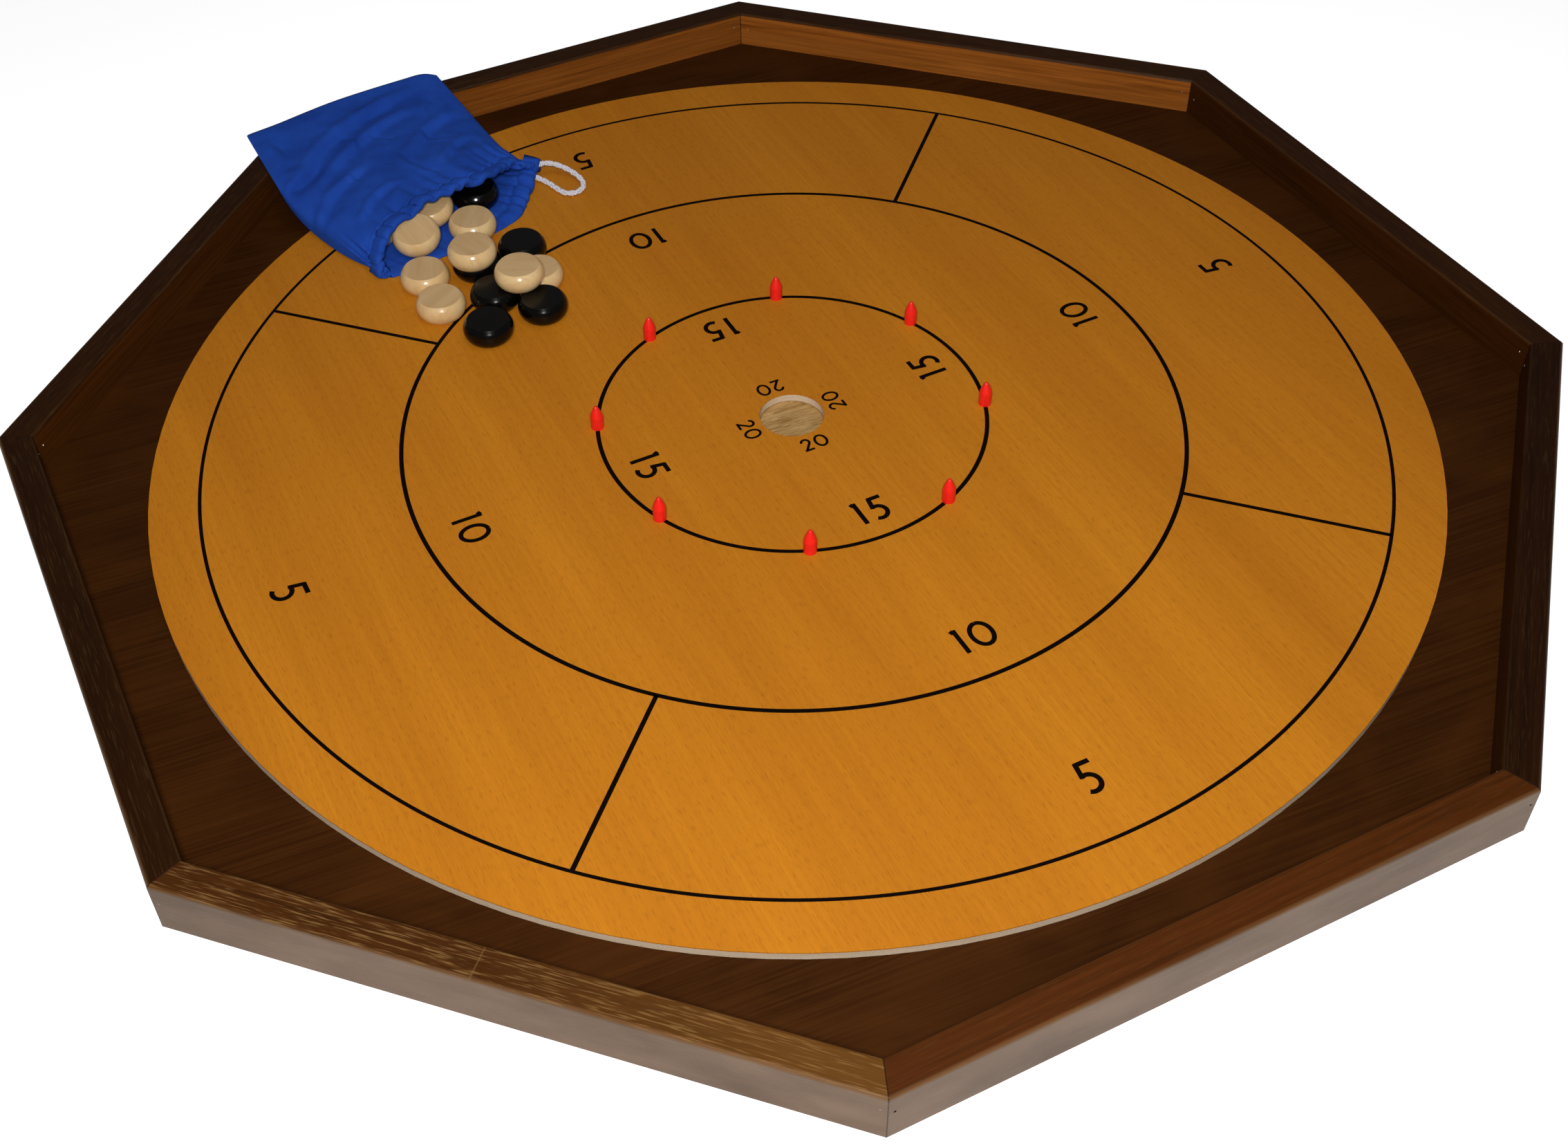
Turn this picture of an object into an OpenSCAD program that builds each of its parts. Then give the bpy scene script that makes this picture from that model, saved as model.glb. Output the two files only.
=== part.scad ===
// Crokinole board with its pegs, playing discs and drawstring bag.
// Origin: centre of the board's underside. +Z is up, and the player's side faces -Y.

/* [Board] */
// Thickness of the octagonal base panel
base_t = 6.5; // [5:0.5:9]
// Thickness of the fibreboard core of the playing disc
core_t = 3.9; // [3:0.1:6]
// Thickness of the beech laminate on the playing disc
face_t = 0.6; // [0.4:0.1:1]
// Diameter of the playing disc
playing_d = 660.4; // [650:0.1:670]
// Diameter of the centre hole
hole_d = 34; // [30:0.5:36]
// Depth of the centre hole below the playing face
hole_depth = 5.8; // [5:0.1:8]

/* [Rails] */
// Distance from the centre to a rail's inner face
rail_inner = 358.8; // [350:0.1:370]
// Width of a rail, seen from above
rail_w = 16.4; // [14:0.1:20]
// Height of a rail
rail_h = 28.5; // [24:0.5:34]
// Radius of a rail's top edges
rail_edge_r = 1.8; // [1:0.1:3]
// Width of the rebate that takes the base panel
rebate_w = 8; // [6:0.5:10]

/* [Pegs] */
// Radius of the circle that the pegs stand on
peg_circle_r = 101.6; // [95:0.1:105]
// Diameter of a peg above the playing face
peg_d = 6.8; // [6:0.1:8]
// Height of a peg above the playing face
peg_h = 14; // [10:0.5:18]
// Diameter of a peg's shank
shank_d = 6; // [4:0.1:6]
// Length of a peg's shank
shank_l = 7.8; // [5:0.1:8]

/* [Playing discs] */
// Diameter of a playing disc
disc_d = 28; // [26:0.1:28.2]
// Thickness of a playing disc
disc_t = 11.5; // [10:0.1:12]
// Diameter of the flat face of a playing disc
disc_face_d = 22.8; // [20:0.1:25]

/* [Fasteners] */
// Diameter of a corner pin
pin_d = 1.2; // [1:0.1:1.4]
// Length of a corner pin
pin_l = 20; // [14:1:24]
// Diameter of a base screw's head
screw_head_d = 6.5; // [5:0.1:7]
// Diameter of a base screw's shank
screw_d = 3.2; // [2.5:0.1:3.6]
// Length of a base screw
screw_l = 16; // [12:1:22]

/* [Bag] */
// Wall thickness of the bag
bag_wall = 1.2; // [0.8:0.1:1.6]
// Height of the open mouth
mouth_h = 25; // [22:1:28]
// Thickness of the flat closed end
bag_end_t = 3; // [3:0.1:4]
// Diameter of the drawstring
cord_d = 3.6; // [3:0.1:4]

/* [Hidden] */
sides = 8;
turn = 360/sides;
surface_z = base_t + core_t + face_t;
rail_outer = rail_inner + rail_w;
half_tan = tan(turn/2);
bore_play = 0.05;
discs_on_board = 5;
discs_in_bag = 4;

// Places of the discs on the board: [x, y, level], where level 1 lies on a lower disc
natural_places = [[-132, 169.4, 0], [-131.2, 198, 0], [-103.6, 191.8, 1],
                  [-87.4, 160.7, 1], [-73.5, 169, 0]];
black_places = [[-116, 137.4, 0], [-82, 141.7, 0], [-102.1, 163.3, 0],
                [-72, 198, 0], [-100.6, 195.8, 0]];

// The bag's four corners in plan, from its closed end over the rail to its mouth
far_left = [-184, 365];
far_right = [-58, 373];
mouth_left = [-149, 219];
mouth_right = [-38, 268];
mouth_forward = [0.44, -0.9];
// Stations along the bag, 0 at the closed end and 1 at the mouth
outer_stations = [0, 0.12, 0.26, 0.38, 0.5, 0.65, 0.8, 0.9, 1];
inner_stations = [1, 0.9, 0.8, 0.65, 0.5, 0.38, 0.3];
ring_n = 24;
clear = 0.4;
bag_floor = surface_z + clear + bag_wall + 0.1;

// Places of the discs in the bag: [x, y, z of the middle, [tilt]]
bagged_natural = [[-90, 230.5, bag_floor + disc_t/2, [0, 0, 0]],
                  [-124.2, 230, 22.6, [15, -6, 0]],
                  [-107.8, 253, 22.3, [11, -8, 0]],
                  [-142, 252.2, 19.6, [0, 0, 0]]];
bagged_black = [[-77.5, 258.8, bag_floor + disc_t/2 + 0.4, [0, 0, 0]]];

// The drawstring's loop: out of the hem, round on the playing face and back in
cord_route = [[-38, 267.5, 19.4], [-31, 269.5, 19.3], [-25, 268.5, 18.3], [-20, 265, 16.8],
              [-15.8, 260, 15], [-13.2, 254.2, 13.6], [-12.9, 248.2, 13], [-15.6, 242.7, 12.9],
              [-21.1, 240.4, 12.9], [-26.6, 242.9, 12.9], [-29.2, 249, 12.9],
              [-31, 255.5, 12.9], [-33.8, 261.5, 13.4], [-38.5, 266.5, 15]];

function mix(a, b, t) = a + (b - a)*t;
function arc(cx, cy, r, a0, a1, n) = [for (i = [0:n])
    let (a = mix(a0, a1, i/n)) [cx + r*cos(a), cy + r*sin(a)]];
function unit(v) = v/norm(v);
// Two triangles for each pair of neighbouring points on two neighbouring rings, and two caps
function tube_faces(rings, n) = concat(
    [for (k = [0:rings - 2], i = [0:n - 1])
        let (j = (i + 1) % n) [k*n + i, k*n + j, (k + 1)*n + j]],
    [for (k = [0:rings - 2], i = [0:n - 1])
        let (j = (i + 1) % n) [k*n + i, (k + 1)*n + j, (k + 1)*n + i]],
    [[for (i = [n - 1:-1:0]) i]],
    [[for (i = [0:n - 1]) (rings - 1)*n + i]]);

module octagon(apothem, h) {
    rotate(turn/2) cylinder(r = apothem/cos(turn/2), h = h, $fn = sides);
}

module at_pegs() {
    for (i = [1:sides]) rotate(turn*(i - 0.5)) translate([peg_circle_r, 0, 0]) children();
}

module peg_bores(bottom, h) {
    at_pegs() translate([0, 0, bottom]) cylinder(d = shank_d + 2*bore_play, h = h, $fn = 48);
}

// Octagonal panel: the floor of the ditch, and the bottom of the centre hole
module base_panel() {
    color("#3a2313") difference() {
        octagon(rail_inner + rebate_w, base_t);
        translate([0, 0, surface_z - hole_depth]) cylinder(d = hole_d, h = base_t, $fn = 96);
        peg_bores(surface_z - shank_l - 0.2, shank_l);
    }
}

module playing_layer(bottom, t) {
    difference() {
        translate([0, 0, bottom]) cylinder(d = playing_d, h = t, $fn = 180);
        translate([0, 0, bottom - 1]) cylinder(d = hole_d, h = t + 2, $fn = 96);
        peg_bores(bottom - 1, t + 2);
    }
}

module playing_core() {
    color("#b59468") playing_layer(base_t, core_t);
}

module playing_face() {
    color("#c17a2b") playing_layer(base_t + core_t, face_t);
}

// One side of the frame: round top edges, a rebate below and a mitre at each end
module rail(i) {
    outline = concat(
        [[rail_inner + rebate_w, base_t], [rail_inner + rebate_w, 0], [rail_outer - 0.5, 0],
         [rail_outer, 0.5]],
        arc(rail_outer - rail_edge_r, rail_h - rail_edge_r, rail_edge_r, 0, 90, 5),
        arc(rail_inner + rail_edge_r, rail_h - rail_edge_r, rail_edge_r, 90, 180, 5),
        [[rail_inner, base_t]]);
    reach = rail_outer + 5;
    color("#4a2c16") rotate(turn*(i - 1)) intersection() {
        rotate([90, 0, 0]) linear_extrude(height = reach, center = true) polygon(outline);
        translate([0, 0, -1]) linear_extrude(height = rail_h + 2)
            polygon([[0, 0], [reach, -reach*half_tan], [reach, reach*half_tan]]);
    }
}

// Two steel pins across each mitre, one through the face of each rail
module corner_pins() {
    from_corner = 3;
    heights = [19.7, 17.7];
    color("#b9b6ae") for (i = [1:sides], hand = [-1, 1])
        rotate(turn*(i - 1))
            translate([rail_outer, hand*(rail_outer*half_tan - from_corner),
                       hand > 0 ? heights[0] : heights[1]])
                rotate([0, -90, 0]) cylinder(d = pin_d, h = pin_l, $fn = 24);
}

module base_screw() {
    head_t = 2.2;
    slot_w = 0.9;
    difference() {
        rotate_extrude($fn = 48) polygon([[0, 0], [screw_head_d/2, 0], [screw_head_d/2, 0.3],
            [screw_d/2, head_t], [screw_d/2, screw_l - 3], [0, screw_l]]);
        for (a = [0, 90]) rotate(a)
            translate([-screw_head_d/3, -slot_w/2, -1]) cube([screw_head_d*2/3, slot_w, 2]);
    }
}

// Two countersunk screws for each rail, up through the base panel's edge
module base_screws() {
    spread = 95;
    color("#a9a9a4") for (i = [1:sides], hand = [-1, 1])
        rotate(turn*(i - 1)) translate([rail_inner + rebate_w/2, hand*spread, 0]) base_screw();
}

// Plastic bumper peg: straight below, drawn in to a round tip, with a shank for its bore
module peg(i) {
    r = peg_d/2;
    straight = peg_h*0.5;
    tip_r = 1.1;
    ogive = [for (k = [0:6]) let (t = k/6)
        [mix(r, tip_r, pow(t, 1.35)), straight + (peg_h - straight - tip_r*0.7)*t]];
    color("#c4170f") rotate(turn*(i - 0.5)) translate([peg_circle_r, 0, surface_z])
        rotate_extrude($fn = 64) polygon(concat(
            [[0, -shank_l], [shank_d/2 - 0.5, -shank_l], [shank_d/2, -shank_l + 0.5],
             [shank_d/2, 0], [r, 0]],
            ogive,
            [[tip_r*0.6, peg_h - 0.2], [0, peg_h]]));
}

// Turned disc with flat faces and a barrel side, its middle at the origin
module playing_piece() {
    bulge = (disc_d - disc_face_d)/2;
    round_r = (pow(bulge, 2) + pow(disc_t/2, 2))/(2*bulge);
    side = [for (i = [0:12]) let (z = (i/6 - 1)*disc_t/2)
        [disc_d/2 - round_r + sqrt(pow(round_r, 2) - z*z), z]];
    rotate_extrude($fn = 72) polygon(concat([[0, -disc_t/2]], side, [[0, disc_t/2]]));
}

module on_board(place) {
    translate([place[0], place[1], surface_z + disc_t*(place[2] + 0.5)]) playing_piece();
}

module in_bag(place) {
    translate([place[0], place[1], place[2]]) rotate(place[3]) playing_piece();
}

module natural_disc(i) {
    color("#dcb88a") {
        if (i <= discs_on_board) on_board(natural_places[i - 1]);
        else in_bag(bagged_natural[i - 1 - discs_on_board]);
    }
}

module black_disc(i) {
    color("#111111") {
        if (i <= discs_on_board) on_board(black_places[i - 1]);
        else in_bag(bagged_black[0]);
    }
}

// Height of the bag's underside: over the rail, then down to the playing face
function bag_under(s) = clear + (s <= 0.27 ? rail_h : s >= 0.52 ? surface_z
    : mix(rail_h, surface_z, (s - 0.27)/0.25));
function bag_depth(s) = mix(bag_end_t, mouth_h, pow(s, 1.3));
function bag_bow(s, v) = s < 0.6 ? 0 : pow((s - 0.6)/0.4, 2)*(v < 0 ? 14 : -4);
// The left side swells out between its two corners, where the discs lie
function bag_swell(s) = -10*pow(4*s*(1 - s), 0.7);
function bag_ring(s, inset) = [for (i = [0:ring_n - 1])
    let (u = -cos(360*i/ring_n), v = sin(360*i/ring_n),
         left = mix(far_left, mouth_left, s) + [bag_swell(s), 0],
         right = mix(far_right, mouth_right, s),
         half = (right - left)/2,
         at = (left + right)/2 + half*u*(1 - 2.5*inset/norm(half))
              + mouth_forward*bag_bow(s, v)*(1 - u*u),
         low = bag_under(s) + inset,
         top = bag_under(s) + bag_depth(s) - inset,
         edge = mix(low, top, 0.3),
         z = v < 0 ? mix(edge, low, pow(-v, 0.3)) : mix(edge, top, pow(v, 0.55)))
    [at[0], at[1], z]];

// Cloth bag: a pouch that lies over the rail and opens onto the playing face
module drawstring_bag() {
    rings = concat([for (s = outer_stations) bag_ring(s, 0)],
                   [for (s = inner_stations) bag_ring(s, bag_wall)]);
    color("#17399c") polyhedron(points = [for (ring = rings) for (p = ring) p],
        faces = tube_faces(len(rings), ring_n), convexity = 4);
}

// The loop of cord that stands out of the hem
module drawstring() {
    n = 8;
    last = len(cord_route) - 1;
    points = [for (k = [0:last])
        let (ahead = unit(cord_route[min(k + 1, last)] - cord_route[max(k - 1, 0)]),
             across = unit(cross(ahead, [0, 0, 1])),
             up = cross(across, ahead))
        for (i = [0:n - 1]) cord_route[k]
            + cord_d/2*(cos(360*i/n)*across + sin(360*i/n)*up)];
    color("#e8e8ea") polyhedron(points = points, faces = tube_faces(last + 1, n), convexity = 4);
}

base_panel();
playing_core();
playing_face();
corner_pins();
base_screws();
drawstring_bag();
drawstring();
for (i = [1:sides]) {
    rail(i);
    peg(i);
}
for (i = [1:discs_on_board + discs_in_bag]) {
    natural_disc(i);
}
for (i = [1:discs_on_board + 1]) {
    black_disc(i);
}
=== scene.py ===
import math

import bpy
import numpy as np
from mathutils import Matrix, Vector, noise


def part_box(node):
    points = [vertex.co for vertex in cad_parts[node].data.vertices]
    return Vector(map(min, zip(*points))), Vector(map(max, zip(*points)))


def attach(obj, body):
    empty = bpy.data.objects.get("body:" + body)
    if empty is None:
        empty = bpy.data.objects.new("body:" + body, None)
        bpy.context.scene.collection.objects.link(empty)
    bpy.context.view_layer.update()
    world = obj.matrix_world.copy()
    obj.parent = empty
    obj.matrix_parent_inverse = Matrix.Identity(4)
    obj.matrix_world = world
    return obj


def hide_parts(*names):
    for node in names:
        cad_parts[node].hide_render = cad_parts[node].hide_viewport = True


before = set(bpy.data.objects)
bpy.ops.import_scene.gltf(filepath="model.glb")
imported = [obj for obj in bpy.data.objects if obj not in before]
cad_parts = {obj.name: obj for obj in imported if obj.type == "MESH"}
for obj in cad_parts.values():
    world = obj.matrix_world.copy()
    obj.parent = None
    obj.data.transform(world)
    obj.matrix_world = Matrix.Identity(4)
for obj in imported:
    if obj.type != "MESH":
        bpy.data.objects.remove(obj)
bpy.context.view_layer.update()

# Crokinole board: looks for the CAD frame. All lengths are in metres.

MM = 0.001
SIDES = 8
TURN = 2*math.pi/SIDES

SURFACE_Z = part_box("playing_face")[1].z
RAIL_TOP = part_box("rail_1")[1].z
RAIL_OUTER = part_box("rail_1")[1].x
RAIL_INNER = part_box("rail_1")[0].x
HOLE_R = 17*MM
# A playing disc's radius and half its thickness
DISC_R = 14*MM
DISC_HALF_T = 5.75*MM


# ---------------------------------------------------------------- camera

CAMERA_TARGET = Vector((-72.2*MM, -91.6*MM, SURFACE_Z))
CAMERA_DISTANCE = 907.4*MM
CAMERA_HEADING = math.radians(25.37)
CAMERA_ELEVATION = math.radians(45.19)
CAMERA_ROLL = math.radians(-1.66)
FOCAL_PX = 2730.8
IMAGE_W = 2268
CENTRE_PX = 1080


def make_camera():
    heading, tilt = CAMERA_HEADING, CAMERA_ELEVATION
    back = Vector((-math.sin(heading)*math.cos(tilt), -math.cos(heading)*math.cos(tilt),
                   math.sin(tilt)))
    right = back.cross(Vector((0, 0, -1))).normalized()
    up = back.cross(right)
    roll_right = right*math.cos(CAMERA_ROLL) + up*math.sin(CAMERA_ROLL)
    roll_up = up*math.cos(CAMERA_ROLL) - right*math.sin(CAMERA_ROLL)
    data = bpy.data.cameras.new("camera")
    data.sensor_width = 36
    data.lens = 36*FOCAL_PX/IMAGE_W
    data.shift_x = (IMAGE_W/2 - CENTRE_PX)/IMAGE_W
    data.clip_start = 0.05
    camera = bpy.data.objects.new("camera", data)
    axes = Matrix((roll_right, roll_up, back)).transposed().to_4x4()
    camera.matrix_world = Matrix.Translation(CAMERA_TARGET + back*CAMERA_DISTANCE) @ axes
    bpy.context.scene.collection.objects.link(camera)
    bpy.context.scene.camera = camera


make_camera()


# ---------------------------------------------------------------- mesh helpers

def new_mesh(name, points, faces, smooth=True):
    mesh = bpy.data.meshes.new(name)
    mesh.from_pydata([tuple(p) for p in points], [], faces)
    mesh.validate()
    mesh.update()
    if smooth:
        mesh.polygons.foreach_set("use_smooth", [True]*len(mesh.polygons))
    piece = bpy.data.objects.new(name, mesh)
    bpy.context.scene.collection.objects.link(piece)
    return piece


def mix(a, b, t):
    return a + (b - a)*t


def smooth_path(points, steps):
    """A Catmull-Rom curve through the points, with steps spans between neighbours."""
    pts = [points[0]*2 - points[1]] + points + [points[-1]*2 - points[-2]]
    out = []
    for k in range(1, len(pts) - 2):
        a, b, c, d = pts[k - 1:k + 3]
        for i in range(steps):
            t = i/steps
            out.append(0.5*(2*b + (c - a)*t + (2*a - 5*b + 4*c - d)*t*t
                            + (3*b - a - 3*c + d)*t*t*t))
    out.append(points[-1])
    return out


# ---------------------------------------------------------------- drawstring

CORD_D = 3.6*MM
# The same route as the CAD tube, out of the hem, round on the playing face and back in
CORD_ROUTE = [Vector(p)*MM for p in (
    (-38, 267.5, 19.4), (-31, 269.5, 19.3), (-25, 268.5, 18.3), (-20, 265, 16.8),
    (-15.8, 260, 15), (-13.2, 254.2, 13.6), (-12.9, 248.2, 13), (-15.6, 242.7, 12.9),
    (-21.1, 240.4, 12.9), (-26.6, 242.9, 12.9), (-29.2, 249, 12.9),
    (-31, 255.5, 12.9), (-33.8, 261.5, 13.4), (-38.5, 266.5, 15))]


def path_frames(path):
    """Across and up directions at each point of a path, carried along without twist."""
    ahead = [(path[min(k + 1, len(path) - 1)] - path[max(k - 1, 0)]).normalized()
             for k in range(len(path))]
    up = Vector((0, 0, 1))
    frames = []
    for direction in ahead:
        across = direction.cross(up).normalized()
        up = across.cross(direction).normalized()
        frames.append((across, up))
    return frames


def make_drawstring():
    """Eight plaited strands round one centreline, four each way, each passing over and under."""
    path = smooth_path(CORD_ROUTE, 16)
    frames = path_frames(path)
    strand_r = 0.52*MM
    ride_r = CORD_D/2 - strand_r
    weave = 0.28*MM
    pitch = 11*MM
    sides = 7
    points, faces = [], []
    along = [0.0]
    for a, b in zip(path, path[1:]):
        along.append(along[-1] + (b - a).length)
    for hand in (-1, 1):
        for strand in range(4):
            start = len(points)
            centres = []
            for k, p in enumerate(path):
                turn = 2*math.pi*(hand*along[k]/pitch + strand/4)
                over = math.cos(2*math.pi*along[k]/pitch*4 + strand*math.pi + (hand < 0)*math.pi)
                r = ride_r - weave + weave*over
                across, up = frames[k]
                centres.append(p + (across*math.cos(turn) + up*math.sin(turn))*r)
            for k, (across, up) in enumerate(path_frames(centres)):
                for i in range(sides):
                    a = 2*math.pi*i/sides
                    points.append(centres[k] + (across*math.cos(a) + up*math.sin(a))*strand_r)
            for k in range(len(path) - 1):
                for i in range(sides):
                    j = (i + 1) % sides
                    a, b = start + k*sides, start + (k + 1)*sides
                    faces.append((a + i, a + j, b + j, b + i))
            faces.append(tuple(start + i for i in range(sides))[::-1])
            last = start + (len(path) - 1)*sides
            faces.append(tuple(last + i for i in range(sides)))
    cord = new_mesh("drawstring_braid", points, faces)
    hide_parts("drawstring")
    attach(cord, "bag")
    return cord


drawstring = make_drawstring()


# ---------------------------------------------------------------- material helpers

class Shader:
    """One procedural material, with short names for the nodes that it uses."""

    def __init__(self, name, **sockets):
        self.material = bpy.data.materials.new(name)
        self.material.use_nodes = True
        self.tree = self.material.node_tree
        self.bsdf = self.tree.nodes["Principled BSDF"]
        for socket, value in sockets.items():
            self.bsdf.inputs[socket.replace("_", " ")].default_value = value
        coordinates = self.tree.nodes.new("ShaderNodeTexCoord")
        self.place = coordinates.outputs["Object"]
        self.normal = coordinates.outputs["Normal"]

    def put(self, kind, sockets=(), **settings):
        node = self.tree.nodes.new("ShaderNode" + kind)
        for key, value in settings.items():
            setattr(node, key, value)
        for key, value in dict(sockets).items():
            if isinstance(value, bpy.types.NodeSocket):
                self.tree.links.new(value, node.inputs[key])
            else:
                node.inputs[key].default_value = value
        return node

    def math(self, operation, a, b=0.0, clamp=False):
        return self.put("Math", {0: a, 1: b}, operation=operation, use_clamp=clamp).outputs[0]

    def mapped(self, scale=(1, 1, 1), turn=0.0, shift=(0, 0, 0), source=None):
        turned = self.put("Mapping", {"Vector": source or self.place, "Rotation": (0, 0, turn)})
        return self.put("Mapping", {"Vector": turned.outputs[0], "Scale": scale,
                                    "Location": shift}).outputs[0]

    def noise(self, where, scale=1.0, detail=3.0, roughness=0.5, distortion=0.0):
        return self.put("TexNoise", {"Vector": where, "Scale": scale, "Detail": detail,
                                     "Roughness": roughness,
                                     "Distortion": distortion}).outputs["Fac"]

    def band(self, value, low, high, out_low=0.0, out_high=1.0):
        """Value carried from the range low to high into out_low to out_high, and held there."""
        return self.put("MapRange", {0: value, 1: low, 2: high, 3: out_low, 4: out_high},
                        clamp=True).outputs[0]

    def blend(self, amount, a, b, mode="MIX"):
        def colour(value):
            return value if isinstance(value, bpy.types.NodeSocket) else (*value, 1)
        node = self.put("Mix", {0: amount, 6: colour(a), 7: colour(b)}, data_type="RGBA",
                        blend_type=mode)
        return node.outputs[2]

    def split(self, vector):
        return self.put("SeparateXYZ", {0: vector}).outputs

    def radius(self, vector):
        x, y, _ = self.split(vector)
        return self.math("SQRT", self.math("ADD", self.math("MULTIPLY", x, x),
                                           self.math("MULTIPLY", y, y)))

    def bump(self, height, distance, strength=1.0, under=None):
        sockets = {"Height": height, "Distance": distance, "Strength": strength}
        if under:
            sockets["Normal"] = under
        return self.put("Bump", sockets).outputs[0]

    def use(self, **sockets):
        for key, value in sockets.items():
            self.tree.links.new(value, self.bsdf.inputs[key.replace("_", " ")])
        return self.material


def dress(node, material):
    """Give a CAD piece this material and no other."""
    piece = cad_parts[node]
    piece.data.materials.clear()
    piece.data.materials.append(material)


# ---------------------------------------------------------------- wood

def beech_face():
    """Lacquered beech laminate: its grain and short dark flecks run along Y."""
    s = Shader("beech_face", Roughness=0.45, Specular_IOR_Level=0.14)
    bands = s.noise(s.mapped((16, 1.2, 1)), 1, 3, 0.55)
    streaks = s.noise(s.mapped((480, 11, 1)), 1, 4, 0.65, 0.3)
    flecks = s.noise(s.mapped((1900, 190, 1), shift=(3, 7, 0)), 1, 2, 0.4)
    fleck = s.band(flecks, 0.56, 0.68)
    warm = s.blend(s.band(bands, 0.32, 0.68), (0.505, 0.168, 0.0085), (0.605, 0.218, 0.0115))
    grain = s.blend(s.band(streaks, 0.35, 0.8, 0, 0.50), warm, (0.40, 0.122, 0.0055))
    colour = s.blend(s.math("MULTIPLY", fleck, 0.26), grain, (0.20, 0.054, 0.0040))
    relief = s.bump(s.math("SUBTRACT", streaks, fleck), 0.03*MM, 0.3)
    return s.use(Base_Color=colour, Normal=relief)


def fibreboard():
    s = Shader("fibreboard", Roughness=0.9, Specular_IOR_Level=0.2)
    fibres = s.noise(s.mapped((900, 900, 2600)), 1, 3, 0.6)
    layers = s.noise(s.mapped((40, 40, 700)), 1, 2)
    colour = s.blend(s.band(fibres, 0.3, 0.7), (0.56, 0.42, 0.28), (0.72, 0.57, 0.42))
    colour = s.blend(s.band(layers, 0.45, 0.7, 0, 0.35), colour, (0.46, 0.33, 0.21))
    return s.use(Base_Color=colour, Normal=s.bump(fibres, 0.15*MM, 0.6))


def ditch_ply():
    """Stained plywood above, raw wood at the bottom of the centre hole and below."""
    s = Shader("ditch_ply", Specular_IOR_Level=0.05)
    grain_turn = math.radians(4)
    fine = s.noise(s.mapped((12, 700, 200), grain_turn), 1, 4, 0.65)
    broad = s.noise(s.mapped((3, 45, 30), grain_turn), 1, 3, 0.5)
    cloud = s.noise(s.mapped((13, 22, 10), grain_turn, (5, 2, 0)), 1, 3, 0.55, 0.6)
    stained = s.blend(s.band(fine, 0.35, 0.7), (0.030, 0.0080, 0.0010), (0.056, 0.0175, 0.0030))
    stained = s.blend(s.band(broad, 0.35, 0.7, 0, 0.5), stained, (0.024, 0.0066, 0.0009))
    stained = s.blend(s.band(cloud, 0.42, 0.70, 0, 0.55), stained, (0.068, 0.0205, 0.0032))
    rough = s.noise(s.mapped((60, 620, 800), grain_turn, (0, 0.4, 0)), 1, 5, 0.7, 1.4)
    raw = s.blend(s.band(rough, 0.35, 0.68), (0.27, 0.135, 0.036), (0.56, 0.36, 0.15))
    radius = s.radius(s.place)
    z = s.split(s.place)[2]
    in_hole = s.math("LESS_THAN", radius, HOLE_R + 0.5*MM)
    below = s.math("LESS_THAN", z, 0.2*MM)
    raw_part = s.math("MAXIMUM", in_hole, below)
    colour = s.blend(raw_part, stained, raw)
    roughness = s.band(raw_part, 0, 1, 0.48, 0.85)
    height = s.put("Mix", {0: raw_part, 2: fine, 3: rough}).outputs[0]
    relief = s.bump(height, 0.3*MM, 0.5)
    return s.use(Base_Color=colour, Roughness=roughness, Normal=relief)


# For each rail: how streaky its figure is, how light and how red its stain came out on top,
# and how light its inner face is painted: painted light where it faces the lamp, painted shade
# where it is turned away
RAIL_LOOKS = {1: (0.08, 0.40, 0.5, 0.55), 2: (0.10, 0.45, 0.2, 4.2), 3: (0.10, 0.40, 0.2, 3.2),
              4: (0.12, 0.36, 0.3, 0.8), 5: (0.12, 0.28, 0.3, 0.8), 6: (0.75, 0.74, 0.25, 0.5),
              7: (0.08, 0.88, 0.95, 0.5), 8: (0.08, 0.24, 0.5, 0.6)}


# A faint pale line crosses the top of one rail, and its wood is paler past it
SCARFED_RAIL = 6
SCARF_Y = -12.5*MM


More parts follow.
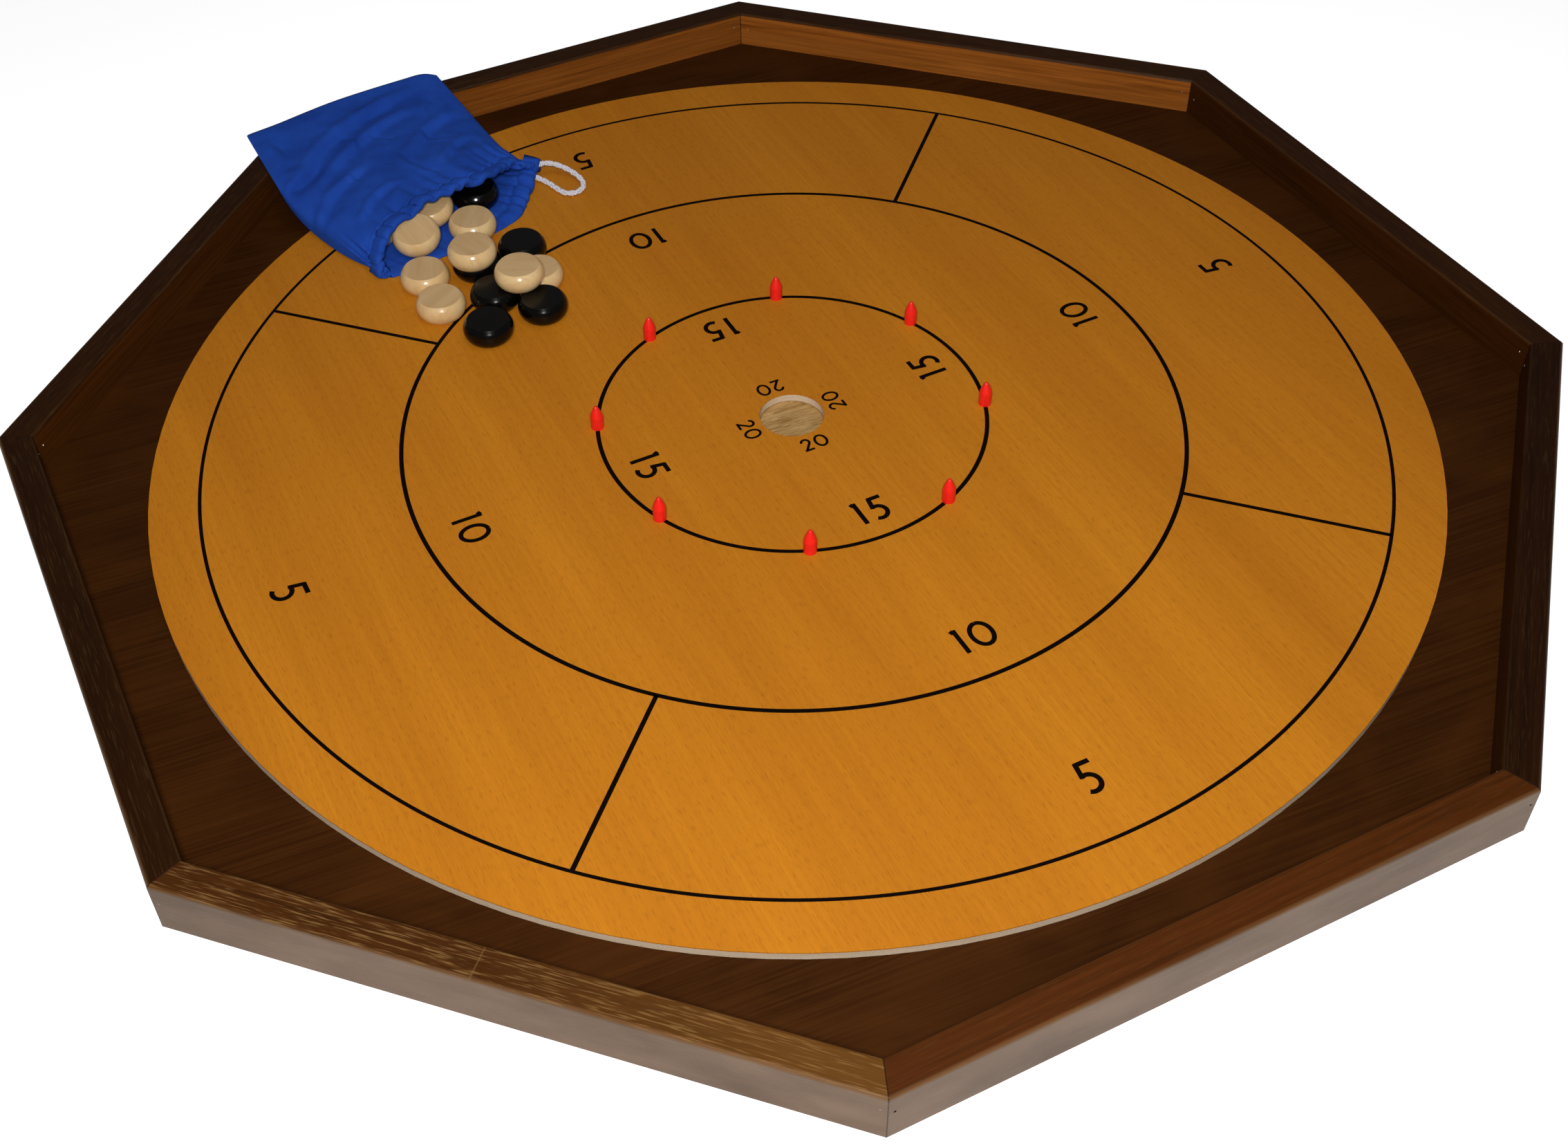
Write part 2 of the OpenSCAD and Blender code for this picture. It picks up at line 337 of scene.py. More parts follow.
def rail_wood(number):
    """Stained hardwood rail: grain along its length, top edges painted paler for wear and a
    highlight, inner faces with painted light and shade, outer faces paler partly as a painted
    reflection, and a glue line at each mitre.
    """
    streaky, light, red, inner_face_painted_light = RAIL_LOOKS[number]
    s = Shader(f"rail_wood_{number}", Specular_IOR_Level=0.12)
    own = s.mapped(turn=-TURN*(number - 1))
    x, y, z = s.split(own)
    shift = (number*3.7, number*1.9, number*0.6)
    fine = s.noise(s.mapped((480, 13, 480), shift=shift, source=own), 1, 5, 0.65, 0.4)
    broad = s.noise(s.mapped((70, 3.5, 70), shift=shift, source=own), 1, 3, 0.55, 0.8)
    pores = s.noise(s.mapped((1500, 75, 1500), shift=shift, source=own), 1, 2, 0.5)
    pore = s.band(pores, mix(0.57, 0.51, streaky), mix(0.70, 0.63, streaky))
    figure = s.band(fine, 0.3, 0.7)

    def stained(light):
        dark = (0.040*light, 0.0105*light, 0.0012*light)
        pale = (mix(0.120, 0.150, red)*light, mix(0.040, 0.036, red)*light,
                mix(0.0058, 0.0030, red)*light)
        wood = s.blend(s.math("MULTIPLY", figure, mix(0.85, 0.55, red)), dark, pale)
        return s.blend(s.band(broad, 0.38, 0.68, 0, 0.6), wood, tuple(c*0.6 for c in pale))

    top_wood = s.blend(s.math("MULTIPLY", pore, streaky*0.75), stained(light),
                       (0.27, 0.145, 0.045))
    if number == SCARFED_RAIL:
        paler_end = s.band(y, SCARF_Y, 120*MM, 0, 0.4)
        top_wood = s.blend(paler_end, top_wood, (0.19, 0.078, 0.0125))
    # The inner face takes the stain at its own lightness, which is painted light or painted shade
    # by how it faces the lamp
    inside = s.math("MULTIPLY", s.band(x, RAIL_INNER + 0.5*MM, RAIL_INNER + 0.1*MM),
                    s.band(z, RAIL_TOP - 1.2*MM, RAIL_TOP - 2.0*MM))
    wood = s.blend(inside, top_wood, stained(inner_face_painted_light))
    # Outer faces: a paler, greyer brown, partly a lighter finish and partly a painted reflection of
    # the lamp and the white floor
    outside = s.band(x, RAIL_OUTER - 0.6*MM, RAIL_OUTER - 0.2*MM)
    cloud = s.noise(s.mapped((14, 14, 40), shift=shift, source=own), 1, 3, 0.55)
    outer_wood_and_reflection = s.blend(s.band(cloud, 0.32, 0.68), (0.078, 0.042, 0.021), (0.145, 0.088, 0.052))
    outer_wood_and_reflection = s.blend(s.band(fine, 0.4, 0.75, 0, 0.25), outer_wood_and_reflection, (0.18, 0.115, 0.068))
    wood = s.blend(outside, wood, outer_wood_and_reflection)
    # Top edges: painted paler along the roundovers, partly wear and partly a painted highlight; the
    # inner edges get less of it
    near_top = s.band(z, RAIL_TOP - 1.6*MM, RAIL_TOP - 0.3*MM)
    inner_edge = s.band(x, RAIL_INNER + 1.5*MM, RAIL_INNER + 0.5*MM)
    outer_edge = s.band(x, RAIL_OUTER - 1.9*MM, RAIL_OUTER - 0.6*MM)
    inner_edge = s.math("MULTIPLY", inner_edge, 0.35)
    edge = s.math("MULTIPLY", near_top, s.math("MAXIMUM", inner_edge, outer_edge))
    wear_and_highlight = s.math("MULTIPLY", edge, s.band(broad, 0.35, 0.62, 0.1, 0.6))
    wood = s.blend(wear_and_highlight, wood, (0.17, 0.085, 0.032))
    to_mitre = s.math("SUBTRACT", s.math("MULTIPLY", x, math.tan(TURN/2)),
                      s.math("ABSOLUTE", y))
    glue = s.band(to_mitre, 0.40*MM, 0.15*MM)
    wood = s.blend(s.math("MULTIPLY", glue, 0.8), wood, (0.016, 0.006, 0.002))
    if number == SCARFED_RAIL:
        from_scarf = s.math("ABSOLUTE", s.math("SUBTRACT", y, SCARF_Y))
        line = s.math("MULTIPLY", near_top, s.band(from_scarf, 0.45*MM, 0.20*MM, 0, 0.3))
        wood = s.blend(line, wood, (0.24, 0.13, 0.045))
    roughness = s.band(fine, 0.3, 0.7, 0.34, 0.48)
    relief = s.bump(s.math("SUBTRACT", fine, s.math("MAXIMUM", pore, glue)), 0.12*MM, 0.45)
    return s.use(Base_Color=wood, Roughness=roughness, Normal=relief)


def turned_disc(name, centre, axis, seed, light):
    """Turned playing disc: dull flat faces with fine saw lines, and a lacquered side."""
    s = Shader(f"{name}_wood", Specular_IOR_Level=0.3 if light else 0.12,
               Coat_Weight=0.55 if light else 0.35, Coat_Roughness=0.16)
    tilt = axis.rotation_difference(Vector((0, 0, 1))).to_euler()
    centred = s.put("Mapping", {"Vector": s.place, "Location": tuple(-centre)}).outputs[0]
    own = s.put("Mapping", {"Vector": centred, "Rotation": tuple(tilt)}).outputs[0]
    turn = seed*2.4
    fine = s.noise(s.mapped((1300, 70, 300), turn, (seed, 0, 0), own), 1, 4, 0.6, 0.4)
    broad = s.noise(s.mapped((150, 25, 60), turn, (0, seed, 0), own), 1, 3, 0.5)
    _, _, z = s.split(own)
    face = s.band(s.math("ABSOLUTE", z), DISC_HALF_T - 0.20*MM, DISC_HALF_T - 0.05*MM)
    if light:
        side = s.blend(s.band(broad, 0.3, 0.7), (0.70, 0.45, 0.20), (0.80, 0.57, 0.29))
        top = s.blend(s.band(broad, 0.3, 0.7), (0.58, 0.365, 0.165), (0.67, 0.445, 0.215))
        colour = s.blend(face, side, top)
        colour = s.blend(s.band(fine, 0.5, 0.8, 0, 0.30), colour, (0.40, 0.22, 0.08))
        roughness = s.band(face, 0, 1, 0.22, 0.60)
        strength = 0.05*MM
    else:
        colour = s.blend(s.band(fine, 0.3, 0.8), (0.0012, 0.0011, 0.0010), (0.0028, 0.0026, 0.0022))
        roughness = s.band(face, 0, 1, 0.17, 0.30)
        strength = 0.02*MM
    return s.use(Base_Color=colour, Roughness=roughness, Normal=s.bump(fine, strength, 0.5))


# ---------------------------------------------------------------- plastic, metal, cloth

def peg_plastic():
    s = Shader("peg_plastic", Roughness=0.34, Specular_IOR_Level=0.4)
    swirl = s.noise(s.place, 240, 3, 0.6, 1.0)
    colour = s.blend(s.band(swirl, 0.3, 0.7), (0.88, 0.0125, 0.0080), (0.97, 0.0210, 0.0130))
    return s.use(Base_Color=colour, Normal=s.bump(s.noise(s.place, 1800, 2), 0.03*MM, 0.4))


def steel(name, tone):
    s = Shader(name, Metallic=0.55)
    marks = s.noise(s.mapped((900, 900, 2500)), 1, 3, 0.6)
    colour = s.blend(s.band(marks, 0.3, 0.7), tuple(c*0.75 for c in tone), tone)
    return s.use(Base_Color=colour, Roughness=s.band(marks, 0.3, 0.7, 0.22, 0.45))


def cotton():
    """Plain-woven blue cotton, with slubs and a soft bloom where it has rubbed."""
    s = Shader("bag_cotton", Roughness=0.88, Specular_IOR_Level=0.06, Sheen_Weight=0.06,
               Sheen_Roughness=0.5, Sheen_Tint=(0.15, 0.35, 1.0, 1.0))
    turned = s.mapped(turn=0.42)
    warp = s.put("TexWave", {"Vector": turned, "Scale": 420, "Distortion": 1.0, "Detail": 1.0},
                 bands_direction="X").outputs["Fac"]
    weft = s.put("TexWave", {"Vector": turned, "Scale": 420, "Distortion": 1.0, "Detail": 1.0},
                 bands_direction="Y").outputs["Fac"]
    weave = s.math("MULTIPLY", warp, weft)
    mottle = s.noise(s.place, 38, 4, 0.6)
    slubs = s.noise(s.mapped((2200, 190, 1900), 0.42), 1, 2)
    colour = s.blend(s.band(mottle, 0.3, 0.7), (0.0120, 0.053, 0.330), (0.0185, 0.080, 0.455))
    colour = s.blend(s.band(slubs, 0.58, 0.8, 0, 0.30), colour, (0.030, 0.112, 0.56))
    relief = s.bump(s.noise(s.place, 240, 3, 0.6), 0.22*MM, 0.35)
    return s.use(Base_Color=colour, Normal=s.bump(weave, 0.10*MM, 0.5, relief))


def braid():
    s = Shader("cord_braid", Roughness=0.6, Specular_IOR_Level=0.3)
    fibres = s.noise(s.place, 2400, 3, 0.6)
    colour = s.blend(s.band(fibres, 0.3, 0.7), (0.60, 0.575, 0.62), (0.84, 0.82, 0.86))
    return s.use(Base_Color=colour, Normal=s.bump(fibres, 0.10*MM, 0.5))


def ink():
    s = Shader("score_ink", Roughness=0.5, Specular_IOR_Level=0.05)
    wear_and_highlight = s.noise(s.mapped((260, 9, 1)), 1, 4, 0.65, 0.3)
    return s.use(Base_Color=s.blend(s.band(wear_and_highlight, 0.3, 0.8), (0.0025, 0.0012, 0.0008),
                                    (0.0060, 0.0026, 0.0014)))


def dress_cad():
    dress("playing_face", beech_face())
    dress("playing_core", fibreboard())
    dress("base_panel", ditch_ply())
    for number in range(1, SIDES + 1):
        dress(f"rail_{number}", rail_wood(number))
    red = peg_plastic()
    for number in range(1, SIDES + 1):
        dress(f"peg_{number}", red)
    dress("corner_pins", steel("pin_steel", (0.80, 0.79, 0.76)))
    dress("base_screws", steel("screw_steel", (0.68, 0.68, 0.64)))
    discs = [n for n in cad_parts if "_disc_" in n]
    for seed, name in enumerate(sorted(discs), 1):
        low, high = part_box(name)
        dress(name, turned_disc(name, (low + high)/2, disc_axis(name), seed,
                                name.startswith("natural")))


def disc_axis(name):
    """The normal of a disc's largest flat face, summed over its mesh."""
    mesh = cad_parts[name].data
    best, area = Vector((0, 0, 1)), 0.0
    sums = {}
    for face in mesh.polygons:
        key = tuple(round(c, 2) for c in face.normal)
        sums[key] = sums.get(key, 0.0) + face.area
        if sums[key] > area:
            best, area = face.normal.copy(), sums[key]
    return best if best.z >= 0 else -best


dress_cad()


# ---------------------------------------------------------------- printed lines and numerals

INK_LIFT = 0.04*MM
INK_STEP = 0.01*MM
LINE_W = 2.3*MM
LINE_WIDTHS = (LINE_W, LINE_W, 0.8*LINE_W)
LINE_RADII = (101.6*MM, 203.2*MM, 304.8*MM)


def ring_strip(radius, width, steps=360):
    z = SURFACE_Z + INK_LIFT
    points, faces = [], []
    for k in range(steps):
        a = 2*math.pi*k/steps
        for r in (radius - width/2, radius + width/2):
            points.append((r*math.cos(a), r*math.sin(a), z))
    for k in range(steps):
        a, b = 2*k, 2*((k + 1) % steps)
        faces.append((a, a + 1, b + 1, b))
    return points, faces


def stroke_strip(line, width):
    """A flat ribbon along a list of (x, y) points, with square ends."""
    z = SURFACE_Z + INK_LIFT
    line = [Vector((p[0], p[1], 0)) for p in line]
    points, faces = [], []
    for k, p in enumerate(line):
        ahead = (line[min(k + 1, len(line) - 1)] - line[max(k - 1, 0)]).normalized()
        aside = Vector((-ahead.y, ahead.x, 0))*width/2
        points += [(p + aside) + Vector((0, 0, z)), (p - aside) + Vector((0, 0, z))]
    for k in range(len(line) - 1):
        faces.append((2*k, 2*k + 1, 2*k + 3, 2*k + 2))
    return points, faces


def arc_line(cx, cy, rx, ry, start, end, steps=28):
    return [(cx + rx*math.cos(math.radians(mix(start, end, k/steps))),
             cy + ry*math.sin(math.radians(mix(start, end, k/steps)))) for k in range(steps + 1)]


# Each numeral is a list of strokes in a box one unit high, with its left side at x = 0
GLYPHS = {
    "0": ([arc_line(0.385, 0.5, 0.330, 0.445, 90, 450, 44)], 0.77),
    "1": ([[(0.155, 0.0), (0.155, 1.0)], [(0.02, 0.90), (0.155, 0.955)]], 0.21),
    "2": ([arc_line(0.295, 0.715, 0.235, 0.235, 175, -38, 24) + [(0.09, 0.055)],
           [(0.0, 0.055), (0.58, 0.055)]], 0.58),
    "5": ([[(0.12, 0.945), (0.56, 0.945)], [(0.175, 0.98), (0.105, 0.50)],
           arc_line(0.20, 0.305, 0.275, 0.275, 118, -124, 30)], 0.56),
}


def numeral_strips(text, centre_x, base_y, height, weight, gap):
    strips = []
    widths = [GLYPHS[c][1]*height for c in text]
    x = centre_x - (sum(widths) + gap*(len(text) - 1))/2
    for c, width in zip(text, widths):
        for line in GLYPHS[c][0]:
            strips.append(stroke_strip([(x + px*height, base_y + py*height)
                                        for px, py in line], weight))
        x += width + gap
    return strips


def joined(name, strips):
    """One mesh of all the strips, each a hair above the last so that none share a plane."""
    points, faces = [], []
    for count, (strip_points, strip_faces) in enumerate(strips):
        start = len(points)
        step = Vector((0, 0, count % 4*INK_STEP))
        points += [Vector(p) + step for p in strip_points]
        faces += [tuple(start + i for i in face) for face in strip_faces]
    return new_mesh(name, points, faces, smooth=False)


def quarter(strips, k):
    """The strips turned by k quarter turns about the board's centre."""
    turn = Matrix.Rotation(k*math.pi/2, 3, "Z")
    return [([turn @ Vector(p) for p in points], faces) for points, faces in strips]


def make_print():
    black = ink()
    rings = [ring_strip(r, w) for r, w in zip(LINE_RADII, LINE_WIDTHS)]
    inner, outer = LINE_RADII[1], LINE_RADII[2]
    spoke = [stroke_strip([(inner*math.sqrt(0.5), inner*math.sqrt(0.5)),
                           (outer*math.sqrt(0.5), outer*math.sqrt(0.5))], LINE_W)]
    numbers = (numeral_strips("5", 2.6*MM, -281.0*MM, 17.4*MM, 2.5*MM, 0)
               + numeral_strips("10", 2.2*MM, -187.0*MM, 15.8*MM, 2.4*MM, 4.3*MM)
               + numeral_strips("15", 1.2*MM, -90.4*MM, 16.0*MM, 2.5*MM, 4.8*MM)
               + numeral_strips("20", 0.3*MM, -29.3*MM, 9.1*MM, 1.4*MM, 2.0*MM))
    lines = list(rings)
    marks = []
    for k in range(4):
        lines += quarter(spoke, k)
        marks += quarter(numbers, k)
    for piece in (joined("score_lines", lines), joined("score_numerals", marks)):
        piece.data.materials.append(black)
        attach(piece, "board")


make_print()


# ---------------------------------------------------------------- bag

# Curves of the bag's edges, each from the closed end to the mouth, or from left to right (mm)
LEFT_EDGE = ((-183.5, 366, 30.8), (-183.2, 342, 30.3), (-182.6, 317, 28.8), (-180.3, 294, 23),
             (-173.8, 274, 15), (-167.6, 254.6, 13.4), (-161, 238, 13.2), (-150, 217.5, 13.2))
RIGHT_EDGE = ((-57.5, 376, 31.4), (-55.8, 354, 30.2), (-51.5, 334, 23.5), (-48.6, 311, 18),
              (-46.2, 290, 18), (-39.5, 278, 19), (-33, 271, 19.6))
CLOSED_END = ((-183.5, 366, 30.8), (-165.7, 368, 31), (-125, 375, 32), (-80, 378.5, 32.5),
              (-66, 379, 32.5), (-57.5, 376, 31.4))
UPPER_LIP = ((-150, 217.5, 13.2), (-148.5, 220.5, 18), (-145.5, 225, 23), (-140.6, 228.5, 26.6),
             (-134.5, 233, 28.6), (-125.2, 236, 30.2), (-117.9, 238.8, 33), (-108.2, 241, 34.8),
             (-99.1, 241.5, 35.4), (-88.7, 245, 34.8), (-75.3, 249.7, 32), (-66, 255.2, 29.5),
             (-55.4, 263.4, 26.5), (-48.5, 267.5, 24.8), (-41, 265.2, 22.3), (-33, 271, 19.6))
LOWER_LIP = ((-150, 217.5, 13.2), (-142, 214.5, 12.4), (-125, 217.5, 12.1), (-103, 222, 12.1),
             (-82, 227, 12.1), (-70, 230.5, 12.4), (-59.5, 236, 13.2), (-52.9, 244.4, 14.4),
             (-45.6, 253.5, 15.8), (-38.8, 263.2, 17.4), (-33, 271, 19.6))
# Height of the upper cloth along the middle of the bag, from the closed end to the mouth (mm)
CROWN = ((0, 0, 32.3), (20, 0, 32.4), (40, 0, 31.3), (60, 0, 30.6), (80, 0, 31.6),
         (100, 0, 33.6), (120, 0, 34.6), (140, 0, 35.2))
# Folds in the upper cloth: where each ridge runs (mm), its height and its half width (mm)
FOLDS = (
    (((-66, 368), (-94, 356), (-120, 346), (-142, 331), (-160, 313), (-177, 294)), 3.4, 6.5),
    (((-76, 346), (-100, 338), (-124, 324), (-146, 306), (-166, 284)), 2.4, 5.5),
    (((-172, 354), (-168, 334), (-174, 314)), 2.0, 6.5),
    (((-150, 320), (-166, 306), (-180, 298)), 2.6, 4.0),
    (((-124, 300), (-146, 288), (-160, 276), (-171, 260)), 2.2, 5.0),
    (((-56, 334), (-78, 322), (-94, 304), (-104, 284)), 2.2, 5.5),
    (((-106, 306), (-106, 292), (-99, 276), (-92, 268)), 1.7, 3.2),
    (((-60, 304), (-76, 292), (-90, 272)), 2.0, 4.0),
    (((-116, 272), (-134, 263), (-151, 244)), 1.8, 4.0),
    (((-132, 340), (-126, 326), (-130, 312)), 0.9, 2.6),
    (((-118, 334), (-110, 324), (-104, 320)), 0.8, 2.2),
    (((-88, 326), (-84, 312), (-72, 306)), 0.9, 2.6),
    (((-96, 362), (-112, 352), (-120, 342)), 0.9, 2.8),
    (((-142, 300), (-136, 286), (-138, 274)), 0.8, 2.4),
)
# Puckers round the mouth: how many of each in a turn, their share and their phase
PUCKERS = ((11, 0.30, 0.4), (17, 0.50, 2.1), (26, 0.65, 5.0), (35, 0.55, 1.0), (46, 0.40, 3.3),
           (59, 0.22, 0.2))
FOLD_SCALE = 0.85
RINGS = 96
AROUND = 320
CLOTH = 0.5*MM
HEM_R = 1.9*MM
HEM_W = 9.5*MM
# How far the cloth keeps from a disc in the bag, over and under it and beside it
CLEAR_ABOVE = 0.9*MM
CLEAR_BESIDE = 1.0*MM
# Where the lower cloth leaves the rail, and how far it takes to come down to the face
RAMP_START = RAIL_INNER - 1*MM
RAMP_LENGTH = 40*MM
# Fine ripples in the cloth, and the gathers on the hem and in the cloth next to it
RIPPLE = 1.5*MM
HEM_GATHER = 1.9*MM
CLOTH_GATHER = 2.1*MM
GATHER_REACH = 11*MM
# The hem stands proud round the cord, with a line of stitches sunk along its edge
CHANNEL_H = 1.0*MM
STITCH_DEPTH = 0.9*MM
STITCH_W = 1.0*MM
# The hem's tip, where the cord comes out, is fuller and less gathered
TIP_X = -52*MM
TIP_LENGTH = 14*MM
TIP_SWELL = 1.6*MM
# The lower lip is gathered less on this side of the bag, where the discs lie on it
QUIET_X = -84*MM
QUIET_LENGTH = 12*MM
BAG_DISCS = ("natural_disc_6", "natural_disc_7", "natural_disc_8", "natural_disc_9",
             "black_disc_6")


def curve(points, samples=240):
    """A smooth curve through the points, resampled to even spacing, as an array in metres."""
    path = np.array([tuple(p) for p in smooth_path([Vector(p)*MM for p in points], 24)])
    along = np.concatenate(([0], np.cumsum(np.linalg.norm(np.diff(path, axis=0), axis=1))))
    even = np.linspace(0, along[-1], samples)
    return np.stack([np.interp(even, along, path[:, k]) for k in range(3)], axis=1)


def at(path, t):
    place = np.clip(t, 0, 1)*(len(path) - 1)
    return np.stack([np.interp(place, np.arange(len(path)), path[:, k]) for k in range(3)],
                    axis=-1)


def ease(t):
    t = np.clip(t, 0, 1)
    return t*t*(3 - 2*t)


def ground(x, y):
    """Height of the taut lower cloth: on the rail, across the ditch, then on the face."""
    reach = np.maximum(y, (y - x)*math.sqrt(0.5))
    return mix(RAIL_TOP, SURFACE_Z, ease((RAMP_START - reach)/RAMP_LENGTH)) + CLOTH


def line_distance(x, y, points):
    """Distance from each place to a line in plan, positive on its left, and how far along."""
    path = np.array([tuple(p) for p in smooth_path([Vector((*p, 0))*MM for p in points], 20)])
    dx, dy = x[..., None] - path[:, 0], y[..., None] - path[:, 1]
    nearest = np.hypot(dx, dy).argmin(axis=-1)
    ahead = np.gradient(path, axis=0)
    ahead = (ahead/np.linalg.norm(ahead, axis=1, keepdims=True))[nearest]
    dx = np.take_along_axis(dx, nearest[..., None], -1)[..., 0]
    dy = np.take_along_axis(dy, nearest[..., None], -1)[..., 0]
    return ahead[..., 0]*dy - ahead[..., 1]*dx, nearest/(len(path) - 1)


def bag_body(stations, angles):
    """Points of the pouch without folds, as an array of stations by angles by 3."""
    s = stations[:, None]
    u, v = -np.cos(angles)[None, :], np.sin(angles)[None, :]
    t = (u + 1)/2
    left, right = at(curve(LEFT_EDGE), s), at(curve(RIGHT_EDGE), s)
    flat = mix(left, right, t[..., None])
    end = at(curve(CLOSED_END), t) - mix(left[:1], right[:1], t[..., None])
    flat = flat + end*(1 - ease(s/0.35))[..., None]
    line = mix(left[-1:], right[-1:], t[..., None])
    upper_lip, lower_lip = at(curve(UPPER_LIP), t), at(curve(LOWER_LIP), t)
    near_mouth = ease((s - 0.72)/0.28)
    x, y, edge = flat[..., 0], flat[..., 1], flat[..., 2]
    crown = at(curve(CROWN), s)[..., 2]
    swell = np.abs(v)**0.62
    top = edge + np.maximum(crown - edge, 1.2*MM)*swell
    upper = np.stack([x, y, top], -1)
    upper[..., :2] += (upper_lip - line)[..., :2]*near_mouth[..., None]
    upper[..., 2] = mix(top, upper_lip[..., 2] + 0*s, near_mouth**1.5)
    lower = np.stack([x, y, edge], -1)
    bow = ease((s - 0.5)/0.5)
    lower[..., :2] += (lower_lip - line)[..., :2]*bow[..., None]
    low = np.minimum(ground(lower[..., 0], lower[..., 1]), edge)
    lower[..., 2] = mix(edge, low, np.abs(v)**0.35)
    lower[..., 2] = mix(lower[..., 2], lower_lip[..., 2] + 0*s, ease((s - 0.8)/0.2))
    return np.where((v >= 0)[..., None], upper, lower)


def sheet_frames(points):
    """Along, around and outward directions at each point of a grid of rings."""
    around = np.roll(points, -1, axis=1) - np.roll(points, 1, axis=1)
    ahead = np.gradient(points, axis=0)
    around /= np.linalg.norm(around, axis=-1, keepdims=True) + 1e-12
    outward = np.cross(around, ahead)
    outward /= np.linalg.norm(outward, axis=-1, keepdims=True) + 1e-12
    ahead /= np.linalg.norm(ahead, axis=-1, keepdims=True) + 1e-12
    return ahead, around, outward


def gathers(angles):
    """Uneven puckers round the mouth, between about -1 and 1."""
    wander = 1.7*np.sin(3*angles + 0.6) + 1.1*np.sin(7*angles + 2.1)
    waves = sum(share*np.sin(count*angles + 0.9*wander + phase)
                for count, share, phase in PUCKERS)
    swell = 0.75 + 0.35*np.sin(5*angles + 1.2) + 0.2*np.sin(8*angles + 0.3)
    return np.tanh(waves*swell*1.2)


def pleat(across, width):
    """Section of a fold: a ridge with a long slope on one side, and a dip behind it."""
    slope = width*np.where(across > 0, 1.35, 0.45)
    ridge = np.exp(-(across/slope)**2)
    dip = np.exp(-((across + 1.05*width)/(0.6*width))**2)
    return ridge - 0.55*dip


def fold_bag(points, stations, angles):
    """Folds and gathers pushed into the pouch along its outward direction."""
    _, _, outward = sheet_frames(points)
    s, v = stations[:, None], np.sin(angles)[None, :]
    x, y = points[..., 0], points[..., 1]
    push = np.zeros(points.shape[:2])
    for places, height, width in FOLDS:
        across, along = line_distance(x, y, places)
        taper = ease(along*4)*ease((1 - along)*4)
        push += FOLD_SCALE*height*MM*taper*pleat(across, width*MM)
    ripple = np.array([[noise.noise(Vector((px*34, py*34, 0.3)))
                        + 0.3*noise.noise(Vector((px*120, py*120, 4.1)))
                        for px, py in zip(rx, ry)] for rx, ry in zip(x, y)])
    push += RIPPLE*ripple
    push *= ease(v/0.35)*ease(s/0.08)*(1 - ease((s - 0.86)/0.12))
    to_lip = np.linalg.norm(np.roll(points, -1, axis=0)[:-1] - points[:-1], axis=-1)
    to_lip = np.concatenate((np.cumsum(to_lip[::-1], axis=0)[::-1], np.zeros((1, AROUND))))
    fade = np.where(to_lip < HEM_W, 1.0, np.exp(-(to_lip - HEM_W)/GATHER_REACH))
    stitch = np.exp(-((to_lip - HEM_W)/STITCH_W)**2)
    on_floor = np.where(v < 0, mix(0.3, 1.0, ease((x - QUIET_X)/QUIET_LENGTH)), 1.0)
    tip = ease((x - TIP_X)/TIP_LENGTH)
    gather = gathers(angles)[None, :]*fade*np.where(to_lip < HEM_W, HEM_GATHER, CLOTH_GATHER)
    channel = CHANNEL_H*np.sin(np.pi*np.clip(to_lip/HEM_W, 0, 1))
    push += (gather*(1 - 0.7*tip) + channel - STITCH_DEPTH*stitch)*on_floor
    push += TIP_SWELL*tip*fade
    return points + outward*push[..., None]


def turn_hem(points):
    """Rings that turn the cloth in round the cord at the mouth and back under itself."""
    ahead, _, outward = (a[-1] for a in sheet_frames(points))
    lip = points[-1]
    middle = lip - outward*HEM_R
    rings = []
    for k in range(1, 8):
        a = math.pi*k/8
        rings.append(middle + (outward*math.cos(a) + ahead*math.sin(a))*HEM_R)
    for k in range(5):
        back = HEM_W*(k + 0.5)/5
        rings.append(middle - outward*HEM_R*(1 - 0.35*(k/4)**2) - ahead*back)
    return np.concatenate((points, np.array(rings)))


def keep_clear(points):
    """Move the cloth's points off the discs in the bag, the face and the rails."""
    for name in BAG_DISCS:
        low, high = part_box(name)
        centre = (low + high)/2
        axis = disc_axis(name)
        half = DISC_HALF_T + CLEAR_ABOVE
        dx, dy = points[..., 0] - centre.x, points[..., 1] - centre.y
        inside = np.hypot(dx, dy) < DISC_R + CLEAR_BESIDE
        tilt = -(axis.x*dx + axis.y*dy)/axis.z
        above = centre.z + tilt + half/axis.z
        below = centre.z + tilt - half/axis.z
        z = points[..., 2]
        over = inside & (z > centre.z + tilt) & (z < above)
        under = inside & (z <= centre.z + tilt) & (z > below)
        points[..., 2] = np.where(over, above, np.where(under, np.maximum(below, 0), z))
    floor = ground(points[..., 0], points[..., 1])
    points[..., 2] = np.maximum(points[..., 2], floor - 0.1*MM)
    return points


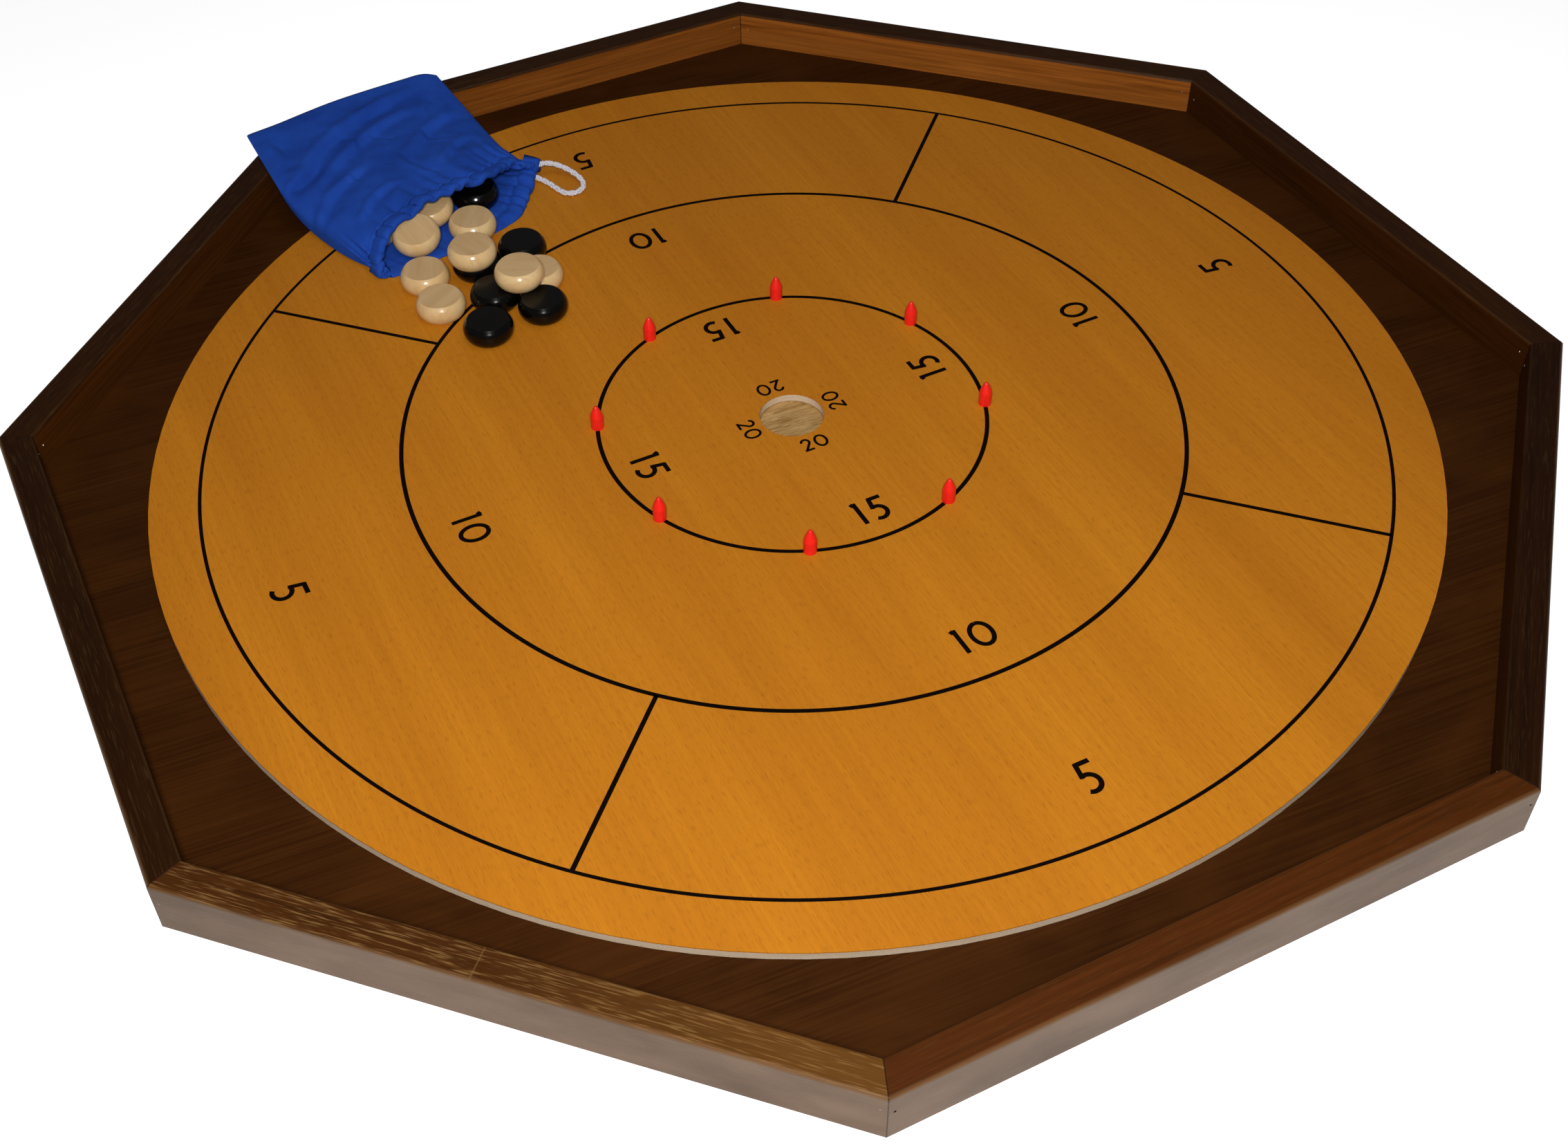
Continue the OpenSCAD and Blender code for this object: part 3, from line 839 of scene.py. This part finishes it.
def make_bag():
    stations = np.linspace(0, 1, RINGS)
    angles = np.linspace(0, 2*math.pi, AROUND, endpoint=False)
    points = fold_bag(bag_body(stations, angles), stations, angles)
    points = keep_clear(turn_hem(points))
    rings = len(points)
    faces = []
    for k in range(rings - 1):
        for i in range(AROUND):
            j = (i + 1) % AROUND
            a, b = k*AROUND, (k + 1)*AROUND
            faces.append((a + i, a + j, b + j, b + i))
    for i in range(AROUND//2):
        faces.append((i, (AROUND - i) % AROUND, AROUND - i - 1, i + 1))
    bag = new_mesh("bag_cloth", points.reshape(-1, 3), faces)
    solid = bag.modifiers.new("cloth_thickness", "SOLIDIFY")
    solid.thickness = CLOTH
    solid.offset = 0
    bag.data.materials.append(cotton())
    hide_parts("drawstring_bag")
    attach(bag, "bag")
    return bag


make_bag()
drawstring.data.materials.append(braid())


# ---------------------------------------------------------------- light and floor

def area_light(name, at, towards, size, power, colour=(1, 1, 1)):
    data = bpy.data.lights.new(name, "AREA")
    data.shape = "DISK"
    data.size = size
    data.energy = power
    data.color = colour
    light = bpy.data.objects.new(name, data)
    light.location = at
    light.rotation_euler = (Vector(towards) - Vector(at)).to_track_quat("-Z", "Y").to_euler()
    bpy.context.scene.collection.objects.link(light)


def make_stage():
    floor = new_mesh("floor", [(-30, -30, 0), (30, -30, 0), (30, 30, 0), (-30, 30, 0)],
                     [(0, 1, 2, 3)], smooth=False)
    floor.location.z = -0.02*MM
    paper = Shader("floor_paper", Roughness=0.95, Specular_IOR_Level=0.1, Emission_Strength=0.68,
                   Emission_Color=(1, 1, 1, 1))
    tone = paper.noise(paper.place, 3, 2)
    floor.data.materials.append(paper.use(Base_Color=paper.blend(
        paper.band(tone, 0.3, 0.7), (0.80, 0.80, 0.80), (0.82, 0.82, 0.82))))
    world = bpy.data.worlds.new("studio")
    world.use_nodes = True
    background = world.node_tree.nodes["Background"]
    background.inputs["Color"].default_value = (1, 1, 1, 1)
    background.inputs["Strength"].default_value = 0.10
    bpy.context.scene.world = world
    area_light("key", (-0.38, -0.70, 0.74), (0, 0, 0), 0.15, 9.2)
    area_light("overhead", (0, -0.25, 1.5), (0, 0, 0), 1.1, 3.2)
    # Plain sRGB, so that the colours come out as they are set
    bpy.context.scene.view_settings.view_transform = "Standard"


make_stage()
